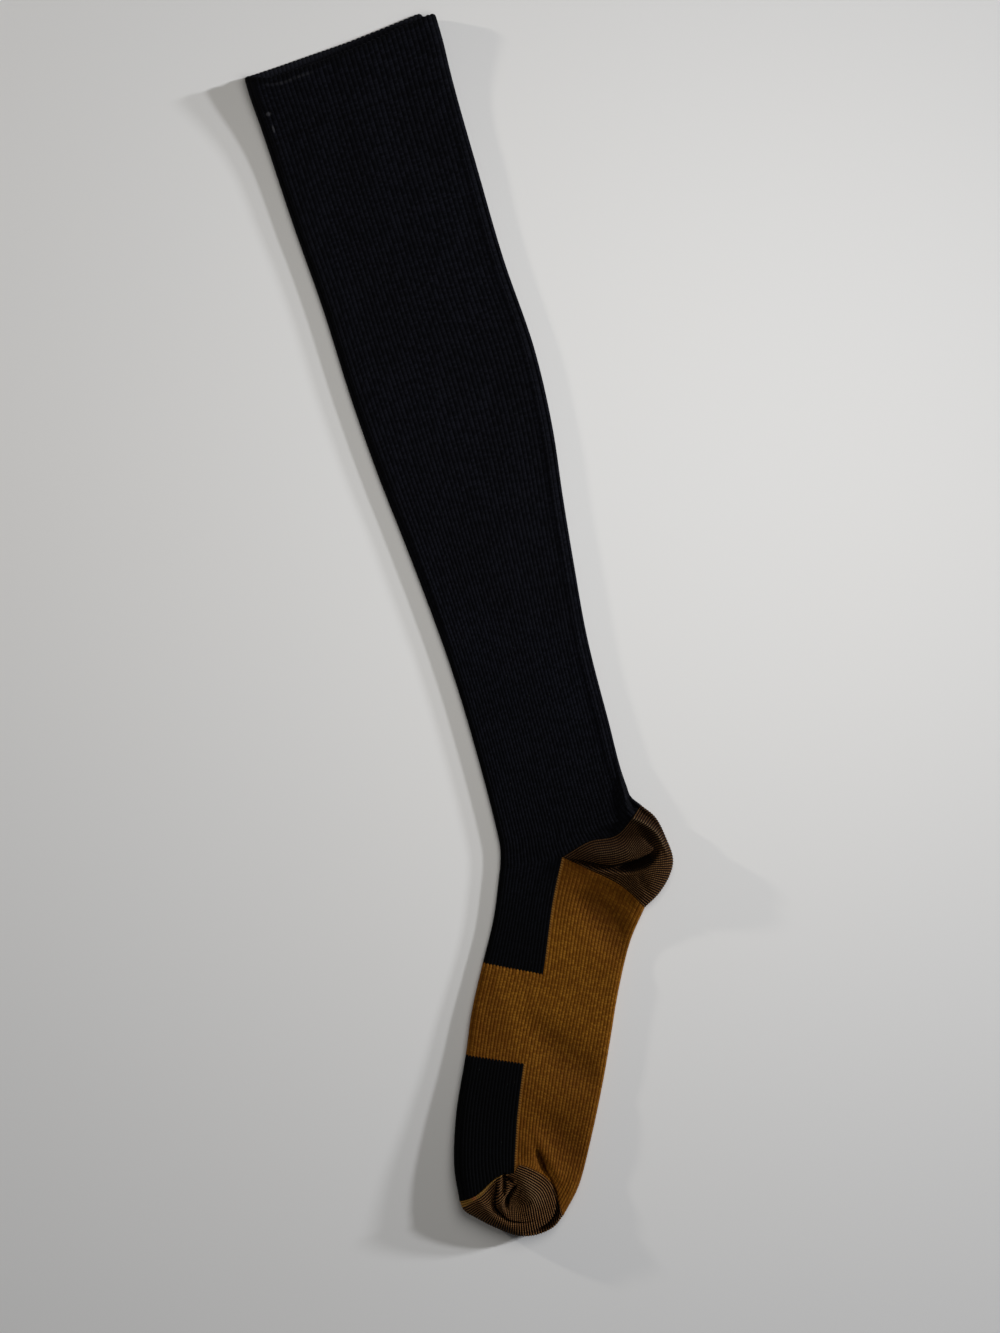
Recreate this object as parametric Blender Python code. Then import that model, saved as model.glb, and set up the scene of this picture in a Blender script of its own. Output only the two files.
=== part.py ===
"""A knee-high ribbed compression stocking, laid flat on its side.

The leg runs along +Y with the cuff at the top, the toes lean towards -X and -Y,
+Z is up and the underside rests on z = 0. The tables are in millimetres and start
from the ankle; the finished stocking is moved so that its box stands centred on the
origin. Ribs are counted round the tube: from the front fold over the side that
shows to the back fold, and on underneath to the front fold again. The cloth lies
flat along the leg; the mouth, the heel pocket and the toe pocket stand open.
"""

from math import exp, hypot, pi, sin, sqrt

import bpy
import numpy as np
from mathutils import Matrix

MM = 0.001
OBJECT_NAME = "compression_stocking"

# Ribs round the tube, and those where the heel and the toe pocket begin and end.
FRONT_FOLD = 0.0
GORE = 18.0
BACK_FOLD = 42.0
HIDDEN_GORE = 60.0
ALL_RIBS = 84.0
HIDDEN_GORE_SHIFT = 0.3  # of the gore rib's distance from the front fold, towards the back

# Cloth, in mm.
WALL = 1.2
WELT_WALL = 1.6  # the welt is turned and doubled
POCKET_WALL = 1.5  # the heel and the toe are knitted thicker
SEAM_GAP = 0.3
RIB_HEIGHT = 0.3
LEAST_SLIT = 0.5  # between the two layers

# How the two layers meet at a folded edge, as shares of their thickness there.
FOLD_SHARE = 0.5  # height of the fold
TOP_ROUND = 1.75  # width of the round above the fold, to its height
UNDER_ROUND = 1.2  # and of the round below it

# Leg. The front edge and the back edge at each height above the ankle.
LEG_OUTLINE = (
    # height, front edge, back edge
    (-6.0, -30.0, 46.5),
    (0.0, -27.8, 45.3),
    (10.0, -25.1, 39.9),
    (14.0, -24.8, 37.0),
    (20.0, -24.5, 36.3),
    (50.0, -23.8, 36.6),
    (90.0, -24.3, 37.9),
    (120.0, -26.2, 41.0),
    (150.0, -28.8, 44.5),
    (180.0, -31.7, 48.5),
    (215.0, -33.9, 50.5),
    (260.0, -35.1, 48.3),
    (300.0, -37.5, 48.2),
    (345.0, -39.4, 48.5),
    (360.0, -40.3, 49.1),
    (371.0, -40.2, 49.0),
)
HEM_HEIGHT = 336.0
RIM_HEIGHT = 367.0
GORE_SHARE = 0.41  # of the flat width, from the front edge

# How a knitted course lies across the leg, by its height at the front edge.
COURSE_LIE = (
    # height, rise at the back edge, drop at the gore rib, then on either side of
    # it: instep near and far from the gore, flank near and far from the gore
    (0.0, 9.9, 6.86, 0.0, 0.0, 0.7, 5.3),
    (14.0, 7.6, 4.1, 0.0, 0.0, 0.3, 2.2),
    (40.0, 5.2, 1.0, 0.0, 0.0, 0.0, 0.0),
    (100.0, 5.0, 0.0, 0.0, 0.0, 0.0, 0.0),
    (336.0, 6.3, 0.6, 0.0, 0.0, 0.0, 0.0),
    (367.0, 3.8, 6.4, 2.7, 4.2, 0.9, 1.6),
)
LEG_LOFT = (
    # height, thickness of the two layers together at the front, the gore rib and the back
    (0.0, 3.6, 4.4, 6.0),
    (25.0, 3.6, 3.8, 4.6),
    (60.0, 3.6, 3.6, 3.8),
    (110.0, 3.6, 3.6, 3.6),
    (240.0, 3.6, 3.6, 3.6),
    (290.0, 3.8, 3.7, 3.8),
    (336.0, 4.9, 4.7, 4.9),
    (367.0, 8.0, 7.6, 8.2),
)
# The rim of the layer underneath shows past the rim of the layer on top.
HIDDEN_RIM = (
    # x, height
    (-40.2, 367.0),
    (-38.4, 368.2),
    (-25.0, 368.8),
    (-10.0, 369.7),
    (9.0, 370.8),
    (26.0, 372.5),
    (42.7, 374.4),
    (44.1, 371.1),
    (49.0, 370.8),
)

# Foot. Courses from the heel to the toe: where each crosses the front edge of the
# instep, the gore rib and the sole edge, and the thickness of the two layers there.
FOOT_COURSES = (
    # front x, y, gore x, y, back x, y, thickness at front, gore, back
    (-27.8, 0.0, 0.0, -2.8, 29.1, -34.6, 3.6, 4.4, 6.0),
    (-36.8, -20.8, -9.8, -21.4, 18.5, -47.8, 3.6, 4.0, 4.6),
    (-47.5, -39.6, -22.2, -49.8, 7.6, -67.3, 3.8, 3.9, 4.2),
    (-57.3, -57.4, -32.2, -67.7, -0.8, -85.0, 4.3, 4.2, 4.2),
    (-65.8, -76.5, -41.3, -85.5, -9.5, -103.0, 5.2, 4.8, 4.6),
    (-76.3, -98.7, -50.0, -105.7, -20.3, -123.5, 6.6, 6.0, 5.4),
    (-83.4, -119.9, -55.4, -120.6, -32.1, -143.7, 8.6, 7.6, 6.6),
    (-85.5, -135.9, -58.6, -129.9, -43.1, -155.5, 10.4, 9.0, 7.6),
)
BAND_START = 2  # the arch band lies between these two courses
BAND_END = 4
TOE_COURSE = 7

# Bends of the seams off a straight line, a third and two thirds of the way out
# from the gore rib, and how many foot courses away each has faded.
HEEL_SEAM_BEND = ((1.1, 1.3), (2.1, 2.1))
TOE_SEAM_BEND = ((-0.6, 10.9), (4.0, 8.5))
LINK_SEAM_BEND = ((1.1, 2.2), (-0.3, -0.6))
HEEL_BEND_REACH = 1.5
TOE_BEND_REACH = 2.5
LINK_BEND_REACH = 1.5
TOE_FAN_REACH = 0.7  # the same inside the toe pocket, as shares of its fan
LINK_FAN_REACH = 0.5

# Outlines of the two pockets, from the foot up to the leg and from the linking
# seam round the tip to the sole.
HEEL_OUTLINE = (
    (29.1, -34.6),
    (36.8, -30.1),
    (43.6, -23.5),
    (47.0, -16.7),
    (46.7, -7.8),
    (44.8, 2.5),
    (39.9, 9.9),
)
TOE_OUTLINE = (
    (-85.5, -135.9),
    (-84.7, -140.7),
    (-80.4, -145.4),
    (-73.3, -152.0),
    (-65.1, -158.0),
    (-56.9, -160.1),
    (-48.7, -159.1),
    (-43.1, -155.5),
)
HEEL_PUFF = 6.5  # how much further a pocket stands open at its middle
TOE_PUFF = 1.6

# Folds that run beside the two long edges.
EDGE_FOLD_FADE = 20.0
EDGE_FOLDS = (
    # at the back edge, distance in from the edge, height, half width, from, to
    (True, 4.4, 0.9, 1.7, 12.0, 330.0),
    (False, 4.0, 0.5, 1.8, 90.0, 350.0),
)
# Soft ridges and troughs of the heel, the sole and the toe.
FOLDS = (
    # start x, y, end x, y, height, half width
    (10.0, -3.0, 23.7, -4.5, 1.4, 4.2),  # upper lobe of the heel
    (23.7, -4.5, 32.6, -0.9, 1.6, 4.2),
    (15.0, -12.6, 25.0, -13.4, -2.2, 2.4),  # crease across the heel
    (25.0, -13.4, 38.5, -9.8, -5.0, 2.9),
    (26.0, -20.5, 38.0, -19.5, 1.2, 4.5),  # lower lobe
    (33.8, 6.6, 40.4, 0.9, 1.5, 2.0),  # back ridge of the heel
    (40.4, 0.9, 44.2, -11.5, 1.5, 2.0),
    (-51.0, -115.5, -50.5, -128.0, 2.4, 3.2),  # sole drawn up to the toe
    (-46.1, -122.5, -45.4, -134.8, -3.4, 1.8),  # notch beside it
    (-54.6, -133.5, -49.8, -146.3, 3.4, 5.4),  # dome of the curled toe
    (-44.4, -136.1, -43.1, -146.0, -3.2, 1.7),  # tuck round the dome
    (-43.1, -146.3, -46.2, -152.7, -2.8, 1.7),
    (-73.0, -135.2, -70.0, -142.6, 1.4, 4.5),  # front lobe of the toe
    (-66.6, -135.6, -68.6, -142.0, -4.2, 1.3),  # crease between the lobes
    (-68.6, -142.0, -61.5, -149.0, -2.6, 1.7),
    (-62.0, -131.4, -61.0, -139.9, -4.6, 1.5),  # eye of the curl
)

# Mesh steps.
LEG_ROWS = 26
LEG_ROW_CROWDING = 1.6  # above 1 the rows crowd towards the heel
FOOT_ROWS = (7, 6.75, 6.5, 6.25, 6, 5.5, 5, 4.5, 4, 3.5, 3, 2.5, 2, 1.5, 1, 0.5, 0)
WELT_HEIGHTS = (336.0, 338.5, 346.0, 356.0, 367.0)
HEEL_ROWS = 24
TOE_ROWS = 30
INSIDE_STEP = 2  # the inside of a tube has every second row
SHOWN_RIB_STEP = 0.5
HIDDEN_RIBS = (42.7, 43.4, 44.2, 45.2, 46.4, 48, 51, 54, 57, 60, 64, 68, 72, 76, 78.5, 80.5, 82, 83.3, 84)
INSIDE_SHOWN_RIBS = (0, 1.5, 3, 4.5, 6.5, 9, 12, 15, 18, 20, 22, 24, 27, 30, 33, 36, 38, 39.5, 41, 42)
INSIDE_HIDDEN_RIBS = (43.4, 45.2, 48, 54, 60, 68, 76, 80.5, 82, 84)
HEEL_SHOWN_RIBS = (18, 20, 22, 24, 26, 28, 30, 32, 33.5, 35, 36.5, 38, 39, 40, 40.8, 41.5, 42)
TOE_SHOWN_RIBS = (*range(18, 34), 34.5, 36, 37.5, 39, 40.2, 41.3, 42)
POCKET_HIDDEN_RIBS = (42.7, 43.6, 45, 47, 50, 55, 60)

# Knit colours, roughness.
BLACK_KNIT = ((0.010, 0.010, 0.013), 0.85)
COPPER_KNIT = ((0.190, 0.085, 0.012), 0.8)
STRIPED_KNIT = ((0.085, 0.042, 0.014), 0.85)


def smooth_table(rows, column, at):
    """Reads a table's column at a value of its first column, along smooth curves."""
    keys = [row[0] for row in rows]
    values = [row[column] for row in rows]
    i = int(np.clip(np.searchsorted(keys, at) - 1, 0, len(keys) - 2))
    slopes = np.gradient(values, keys)
    width = keys[i + 1] - keys[i]
    t = min(max((at - keys[i]) / width, 0.0), 1.0)
    start = (1 + 2 * t) * (1 - t) ** 2 * values[i] + t * (1 - t) ** 2 * width * slopes[i]
    end = t * t * (3 - 2 * t) * values[i + 1] + t * t * (t - 1) * width * slopes[i + 1]
    return start + end


def through(points, t):
    """The point at t, from 0 to 1, on a smooth curve through evenly counted points."""
    points = np.asarray(points, float)
    last = len(points) - 1
    i = min(int(t * last), last - 1)
    t = t * last - i
    before = points[i - 1] if i > 0 else 2 * points[0] - points[1]
    after = points[i + 2] if i + 2 <= last else 2 * points[last] - points[last - 1]
    a, b = points[i], points[i + 1]
    return 0.5 * (
        2 * a
        + (b - before) * t
        + (2 * before - 5 * a + 4 * b - after) * t**2
        + (3 * a - before - 3 * b + after) * t**3
    )


def mix(a, b, share):
    return a + (b - a) * share


def thirds(start, end, bend=((0, 0), (0, 0))):
    """Four points from start to end, the middle two moved by bend."""
    start, end, bend = np.array(start, float), np.array(end, float), np.array(bend, float)
    return np.array([start, mix(start, end, 1 / 3) + bend[0], mix(start, end, 2 / 3) + bend[1], end])


def hidden_gore_of(front, gore):
    """Where the gore rib of the layer underneath lies."""
    front, gore = np.array(front), np.array(gore)
    return gore + (gore - front) * HIDDEN_GORE_SHIFT


def make_course(front, gore, back, instep_bend, flank_bend, lofts, hidden_gore=None):
    """One round of knitting: its four stretches, each from a gore rib out to a fold.

    Lofts are the thicknesses of the two layers at the front, the gore rib and the back.
    """
    if hidden_gore is None:
        hidden_gore = hidden_gore_of(front, gore)
    stretches = (
        thirds(gore, front, instep_bend),
        thirds(gore, back, flank_bend),
        thirds(hidden_gore, back),
        thirds(hidden_gore, front),
    )
    return {"stretches": stretches, "lofts": lofts, "puff": 0.0, "rim": 0.0}


def leg_course(height):
    rise, drop, *bends = (smooth_table(COURSE_LIE, k, height) for k in range(1, 7))
    front = (smooth_table(LEG_OUTLINE, 1, height), height)
    back = (smooth_table(LEG_OUTLINE, 2, height + rise), height + rise)
    gore = (mix(front[0], back[0], GORE_SHARE), height + GORE_SHARE * rise - drop)
    instep_bend = ((0, -bends[0]), (0, -bends[1]))
    flank_bend = ((0, -bends[2]), (0, -bends[3]))
    lofts = [smooth_table(LEG_LOFT, k, height) for k in (1, 2, 3)]
    course = make_course(front, gore, back, instep_bend, flank_bend, lofts)
    course["rim"] = max(0.0, (height - HEM_HEIGHT) / (RIM_HEIGHT - HEM_HEIGHT))
    return course


def fading(bend, distance, reach):
    return np.array(bend) * max(0.0, 1 - distance / reach) ** 2


def foot_course(at):
    """A course of the foot; at counts the rows of FOOT_COURSES."""
    row = through(FOOT_COURSES, at / TOE_COURSE)
    instep_bend = fading(LINK_SEAM_BEND, TOE_COURSE - at, LINK_BEND_REACH)
    flank_bend = fading(HEEL_SEAM_BEND, at, HEEL_BEND_REACH)
    flank_bend = flank_bend + fading(TOE_SEAM_BEND, TOE_COURSE - at, TOE_BEND_REACH)
    return make_course(row[0:2], row[2:4], row[4:6], instep_bend, flank_bend, list(row[6:9]))


def pocket_course(t, outline, foot_end, bend, edge_loft, puff):
    """A course of a pocket, fanned from the gore ribs of the foot course it joins."""
    gore, hidden_gore = foot_end["stretches"][0][0], foot_end["stretches"][3][0]
    back = through(outline, t)
    lofts = [edge_loft, foot_end["lofts"][1], edge_loft]
    course = make_course(back, gore, back, ((0, 0), (0, 0)), bend, lofts, hidden_gore)
    course["puff"] = puff * sin(pi * t)
    return course


def heel_course(t):
    """t is 0 at the foot and 1 at the leg."""
    start = foot_course(0)
    lie = COURSE_LIE[0]
    bend = mix(np.array(HEEL_SEAM_BEND), np.array(((0, -lie[5]), (0, -lie[6]))), t)
    return pocket_course(t, HEEL_OUTLINE, start, bend, start["lofts"][2], HEEL_PUFF)


def toe_course(t):
    """t is 0 at the linking seam and 1 at the sole."""
    end = foot_course(TOE_COURSE)
    bend = fading(LINK_SEAM_BEND, t, LINK_FAN_REACH) + fading(TOE_SEAM_BEND, 1 - t, TOE_FAN_REACH)
    edge_loft = mix(end["lofts"][0], end["lofts"][2], t)
    return pocket_course(t, TOE_OUTLINE, end, bend, edge_loft, TOE_PUFF)


def place_of(rib):
    """(stretch, share of it from the gore out) of a rib."""
    if rib <= GORE:
        return 0, (GORE - rib) / (GORE - FRONT_FOLD)
    if rib <= BACK_FOLD:
        return 1, (rib - GORE) / (BACK_FOLD - GORE)
    if rib <= HIDDEN_GORE:
        return 2, (HIDDEN_GORE - rib) / (HIDDEN_GORE - BACK_FOLD)
    return 3, (rib - HIDDEN_GORE) / (ALL_RIBS - HIDDEN_GORE)


def lay_out(course, rib, inset):
    """(x, y, distance from the folded edge) of a rib, with the edge moved in by inset."""
    stretch, share = place_of(rib)
    points = course["stretches"][stretch]
    length = np.linalg.norm(np.diff(points, axis=0), axis=1).sum()
    share *= 1 - inset / length
    x, y = through(points, share)
    if stretch > 1 and course["rim"] > 0:
        y = hidden_rim_height(course, rib, inset, x)
    return x, y, length * (1 - share) - inset


def hidden_rim_height(course, rib, inset, x):
    """The welt's layer underneath rises from the hem to its own rim."""
    hem_y = lay_out(leg_course(HEM_HEIGHT), rib, inset)[1]
    rim_y = np.interp(x, [row[0] for row in HIDDEN_RIM], [row[1] for row in HIDDEN_RIM])
    return mix(hem_y, rim_y, course["rim"])


def roundness(distance, radius):
    """Rises from 0 at an edge to 1 at radius, like a quarter round."""
    return sqrt(1 - (1 - min(max(distance, 0.0), radius) / radius) ** 2)


def distance_to(x, y, fold):
    start, end = np.array(fold[0:2]), np.array(fold[2:4])
    along = end - start
    t = np.clip(np.dot((x, y) - start, along) / np.dot(along, along), 0, 1)
    return hypot(*(start + t * along - (x, y)))


def fold_height(x, y, distance, at_back):
    """How far the folds raise the cloth on top at a place."""
    height = sum(f[4] * exp(-((distance_to(x, y, f) / f[5]) ** 2)) for f in FOLDS)
    for back, inset, rise, half_width, start, end in EDGE_FOLDS:
        if back != at_back:
            continue
        fade = min(max((y - start) / EDGE_FOLD_FADE, 0), max((end - y) / EDGE_FOLD_FADE, 0), 1)
        height += fade * rise * exp(-(((distance - inset) / half_width) ** 2))
    return height


def edge_height(course, rib):
    """Height of the folded edge that a rib's stretch ends at."""
    at_back = GORE < rib < HIDDEN_GORE
    return FOLD_SHARE * (course["lofts"][2 if at_back else 0] + course["puff"])


def thickness(course, rib, x, y, distance, wall):
    share = place_of(rib)[1]
    at_back = GORE < rib < HIDDEN_GORE
    loft = mix(course["lofts"][1], course["lofts"][2 if at_back else 0], share)
    loft += course["puff"] * sin(pi / 2 * share) + fold_height(x, y, distance, at_back)
    return max(loft, 2 * wall + LEAST_SLIT)


def outer_point(course, rib, wall, ribbed):
    x, y, distance = lay_out(course, rib, 0)
    fold = edge_height(course, rib)
    if rib > BACK_FOLD:
        return x, y, fold * (1 - roundness(distance, UNDER_ROUND * fold))
    rise = thickness(course, rib, x, y, distance, wall) - fold
    z = fold + rise * roundness(distance, TOP_ROUND * fold)
    return x, y, z + (RIB_HEIGHT if ribbed and rib % 1 else 0)


def inner_point(course, rib, wall):
    x, y, distance = lay_out(course, rib, wall)
    fold = edge_height(course, rib)
    if rib > BACK_FOLD:
        return x, y, fold - (fold - wall) * roundness(distance, max(UNDER_ROUND * fold - wall, wall / 2))
    rise = thickness(course, rib, x, y, distance + wall, wall) - wall - fold
    return x, y, fold + rise * roundness(distance, TOP_ROUND * fold - wall)


def cells(rows, ribs, covers):
    """Quads between neighbouring rows and ribs, as corner keys, where covers agrees."""
    found = []
    for low, high in zip(rows, rows[1:]):
        for left, right in zip(ribs, ribs[1:]):
            if covers(low, high, left, right):
                found.append(((low, left), (low, right), (high, right), (high, left)))
    return found


def outline_loops(faces):
    """The open edges of a set of faces, as closed lists of their keys."""
    edges = {(a, b) for face in faces for a, b in zip(face, face[1:] + face[:1])}
    following = {a: b for a, b in edges if (b, a) not in edges}
    loops = []
    while following:
        start, key = next(iter(following.items()))
        del following[start]
        loop = [start]
        while key != start:
            loop.append(key)
            key = following.pop(key)
        loops.append(loop)
    return loops


def seam_moves(faces, points):
    """How each point at a seam moves in to leave half the gap."""
    sharpest = 0.3  # keeps the move short in a sharp corner
    normals = {key: np.zeros(3) for key in points}
    for face in faces:
        corners = [points[key] for key in face]
        normal = np.cross(corners[2] - corners[0], corners[-1] - corners[1])
        for key in face:
            normals[key] += normal
    moves = {}
    for loop in outline_loops(faces):
        for before, key, after in zip(loop[-1:] + loop[:-1], loop, loop[1:] + loop[:1]):
            up = normals[key] / np.linalg.norm(normals[key])
            sides = []
            for a, b in ((before, key), (key, after)):
                side = np.cross(up, points[b] - points[a])
                sides.append(side / np.linalg.norm(side))
            both = sides[0] + sides[1]
            moves[key] = both * SEAM_GAP / 2 / max(np.dot(both, both) / 2, sharpest)
    return moves


def wall_sides(loop, outer, inner):
    """Faces that close the wall along one loop; the inside has fewer points."""
    start = next(i for i, key in enumerate(loop) if key in inner)
    loop = loop[start:] + loop[:start] + [loop[start]]
    stops = [i for i, key in enumerate(loop) if key in inner]
    faces = []
    for first, last in zip(stops, stops[1:]):
        middle = (first + last + 1) // 2
        near, far = inner[loop[first]], inner[loop[last]]
        for i in range(first, last):
            faces.append((outer[loop[i + 1]], outer[loop[i]], near if i < middle else far))
        faces.append((outer[loop[middle]], near, far))
    return faces


def tidy(faces, key_of):
    """Faces with their keys replaced and doubled corners taken out."""
    result = []
    for face in faces:
        keys = [key_of(key) for key in face]
        kept = [key for i, key in enumerate(keys) if key != keys[i - 1]]
        if len(kept) > 2:
            result.append(tuple(kept))
    return result


def make_material(name, knit):
    colour, roughness = knit
    material = bpy.data.materials.new(name)
    material.use_nodes = True
    shader = material.node_tree.nodes["Principled BSDF"]
    shader.inputs["Base Color"].default_value = (*colour, 1)
    shader.inputs["Roughness"].default_value = roughness
    shader.inputs["Metallic"].default_value = 0
    return material


def tube_key(key):
    """The last rib of the round is the first one again."""
    return key[0], key[1] % ALL_RIBS


def pocket_key(key):
    """All courses of a pocket start from its gore points."""
    return (0, key[1]) if key[1] in (GORE, HIDDEN_GORE) else key


def everywhere(low, high, left, right):
    return True


def on_instep(left, right):
    middle = (left + right) / 2
    return middle < GORE or middle > HIDDEN_GORE


def make_piece(name, knit, courses, covers=everywhere, wall=WALL, pocket_ribs=None):
    """A wall of cloth over the cells that covers names, in rows of courses and ribs."""
    rows = list(range(len(courses)))
    if pocket_ribs:
        ribs = inside_ribs = [float(rib) for rib in pocket_ribs + POCKET_HIDDEN_RIBS]
        inside_rows = rows
        key_of = pocket_key
    else:
        ribs = [float(rib) for rib in np.arange(FRONT_FOLD, BACK_FOLD, SHOWN_RIB_STEP)]
        ribs += [BACK_FOLD, *(float(rib) for rib in HIDDEN_RIBS)]
        inside_ribs = [float(rib) for rib in INSIDE_SHOWN_RIBS + INSIDE_HIDDEN_RIBS]
        inside_rows = rows[::INSIDE_STEP]
        key_of = tube_key
    outer_faces = tidy(cells(rows, ribs, covers), key_of)
    inner_faces = tidy(cells(inside_rows, inside_ribs, covers), key_of)
    points = {}
    for row, rib in {key for face in outer_faces for key in face}:
        points[row, rib] = np.array(outer_point(courses[row], rib, wall, not pocket_ribs))
    moves = seam_moves(outer_faces, points)
    vertices, outer, inner = [], {}, {}
    for key in sorted(points):
        outer[key] = len(vertices)
        vertices.append(points[key] + moves.get(key, 0))
    for key in sorted({key for face in inner_faces for key in face}):
        inner[key] = len(vertices)
        vertices.append(np.array(inner_point(courses[key[0]], key[1], wall)) + moves.get(key, 0))
    faces = [[outer[key] for key in face] for face in outer_faces]
    faces += [[inner[key] for key in reversed(face)] for face in inner_faces]
    for loop in outline_loops(outer_faces):
        faces += wall_sides(loop, outer, inner)
    mesh = bpy.data.meshes.new(name)
    mesh.from_pydata([tuple(vertex * MM) for vertex in vertices], [], faces)
    mesh.materials.append(make_material(name, knit))
    return bpy.data.objects.new(name, mesh)


def make_welt():
    courses = [leg_course(height) for height in WELT_HEIGHTS]
    return make_piece("welt", BLACK_KNIT, courses, wall=WELT_WALL)


def make_leg():
    """The leg, with the tongue that runs on over the upper instep."""
    tongue = [foot_course(at) for at in FOOT_ROWS if 0 < at <= BAND_START]
    heights = [HEM_HEIGHT * (i / LEG_ROWS) ** LEG_ROW_CROWDING for i in range(LEG_ROWS + 1)]

    def covers(low, high, left, right):
        return low >= len(tongue) or on_instep(left, right)

    return make_piece("leg", BLACK_KNIT, tongue + [leg_course(height) for height in heights], covers)


def make_foot():
    """The sole, with the band that goes right round the arch."""
    band_low, band_high = FOOT_ROWS.index(BAND_END), FOOT_ROWS.index(BAND_START)

    def covers(low, high, left, right):
        return not on_instep(left, right) or band_low <= low < high <= band_high

    return make_piece("foot", COPPER_KNIT, [foot_course(at) for at in FOOT_ROWS], covers)


def make_instep():
    """The black panel between the arch band and the toe."""
    courses = [foot_course(at) for at in FOOT_ROWS if at >= BAND_END]

    def covers(low, high, left, right):
        return on_instep(left, right)

    return make_piece("instep", BLACK_KNIT, courses, covers)


def make_heel():
    courses = [heel_course(i / HEEL_ROWS) for i in range(HEEL_ROWS + 1)]
    return make_piece("heel", STRIPED_KNIT, courses, wall=POCKET_WALL, pocket_ribs=HEEL_SHOWN_RIBS)


def make_toe():
    courses = [toe_course(i / TOE_ROWS) for i in range(TOE_ROWS + 1)]
    return make_piece("toe", STRIPED_KNIT, courses, wall=POCKET_WALL, pocket_ribs=TOE_SHOWN_RIBS)


def centre(pieces):
    """Moves the meshes so that the box they fill together stands centred on the origin."""
    points = np.array([vertex.co for piece in pieces for vertex in piece.data.vertices])
    low, high = points.min(axis=0), points.max(axis=0)
    shift = Matrix.Translation((-(low[0] + high[0]) / 2, -(low[1] + high[1]) / 2, -low[2]))
    for piece in pieces:
        piece.data.transform(shift)


def main():
    for thing in list(bpy.data.objects):
        bpy.data.objects.remove(thing)
    collection = bpy.data.collections.new(OBJECT_NAME)
    bpy.context.scene.collection.children.link(collection)
    pieces = [make_welt(), make_leg(), make_heel(), make_foot(), make_instep(), make_toe()]
    for piece in pieces:
        collection.objects.link(piece)
    centre(pieces)


main()
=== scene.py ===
from math import cos, pi, radians, sin

import bpy
import numpy as np
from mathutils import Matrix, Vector


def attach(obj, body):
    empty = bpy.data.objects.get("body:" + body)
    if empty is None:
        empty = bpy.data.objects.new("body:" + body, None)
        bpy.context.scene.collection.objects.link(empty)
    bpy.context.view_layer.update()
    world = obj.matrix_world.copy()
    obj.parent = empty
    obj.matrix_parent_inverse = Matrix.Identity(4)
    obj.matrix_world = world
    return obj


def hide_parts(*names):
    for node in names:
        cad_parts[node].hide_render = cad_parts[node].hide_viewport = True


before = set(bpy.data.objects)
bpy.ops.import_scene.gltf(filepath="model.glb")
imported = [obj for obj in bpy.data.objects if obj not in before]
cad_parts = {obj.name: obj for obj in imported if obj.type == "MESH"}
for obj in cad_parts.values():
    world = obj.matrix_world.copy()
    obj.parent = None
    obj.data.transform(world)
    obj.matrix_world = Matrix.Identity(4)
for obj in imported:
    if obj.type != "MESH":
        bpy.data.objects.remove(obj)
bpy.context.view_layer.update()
bpy.ops.object.select_all(action="DESELECT")
print("frame loaded")

# All tables are in millimetres, counted from the ankle; origin is where they meet
# the frame's own zero.
mm = 0.001
origin = (-17.5288, 106.9869)

# Ribs round the tube, from the front fold over the shown side to the back fold and
# on underneath. The two pockets begin and end at the gore ribs.
frontFold = 0.0
goreRib = 18.0
backFold = 42.0
hiddenGore = 60.0
allRibs = 84.0
hiddenGoreShift = 0.3

cloth = {
    "wall": 1.1,
    "weltWall": 1.5,
    "pocketWall": 1.3,
    "leastHollow": (0.3, 0.2),  # between the layers, for the outside and the inside
    "foldClearance": 0.8,
    "foldShare": 0.5,  # height of the folded edge, of the thickness there
    "topRound": 1.75,
    "underRound": 1.2,
    "ribRelief": 0.17,
    "ribReliefUnder": 0.22,
    "ribLift": 0.04,
    "ribPower": 0.6,  # below 1 the ribs are full and the gaps between them narrow
    "courseRelief": 0.24,
    "underShare": 0.7,  # of the courses' relief, on the side underneath
    "insideShare": 0.5,  # of the ribs' relief, inside the welt
    "reliefGrowth": 12.0,
    "smoothAngle": 60.0,
}

legOutline = (
    # height, front edge, back edge
    (-6, -30, 46.5),
    (0, -27.8, 45.3),
    (10, -25.1, 39.9),
    (14, -24.8, 37),
    (20, -24.5, 36.3),
    (50, -23.8, 36.6),
    (90, -24.3, 37.9),
    (120, -26.2, 41),
    (150, -28.8, 44.5),
    (180, -31.7, 48.5),
    (215, -33.9, 50.5),
    (260, -35.1, 48.3),
    (300, -37.5, 48.2),
    (345, -39.4, 48.5),
    (360, -40.3, 49.1),
    (371, -40.2, 49),
)
hemHeight = 336.0
rimHeight = 367.0
goreShare = 0.41

courseLie = (
    # height, rise at the back, drop at the gore rib, bends of the instep and the flank
    (0, 9.9, 6.86, 0, 0, 0.7, 5.3),
    (14, 7.6, 4.1, 0, 0, 0.3, 2.2),
    (40, 5.2, 1, 0, 0, 0, 0),
    (100, 5, 0, 0, 0, 0, 0),
    (336, 6.3, 0.6, 0, 0, 0, 0),
    (367, 3.8, 4.6, 1.6, 3.1, 0.6, 0.2),
)
legLoft = (
    # height, thickness of both layers at the front, the gore rib and the back
    (0, 3.6, 4.4, 6),
    (25, 3.6, 3.8, 4.6),
    (60, 3.6, 3.6, 3.8),
    (110, 3.6, 3.6, 3.6),
    (240, 3.6, 3.6, 3.6),
    (290, 3.8, 3.7, 3.8),
    (336, 4.9, 4.7, 4.9),
    (367, 8, 7.6, 8.2),
)
hiddenRim = (
    # x, height
    (-40.2, 367), (-38.4, 368.2), (-25, 368.8), (-10, 369.7), (9, 370.8), (26, 372.5),
    (42.7, 374.4), (44.1, 371.1), (49, 370.8),
)
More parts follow.
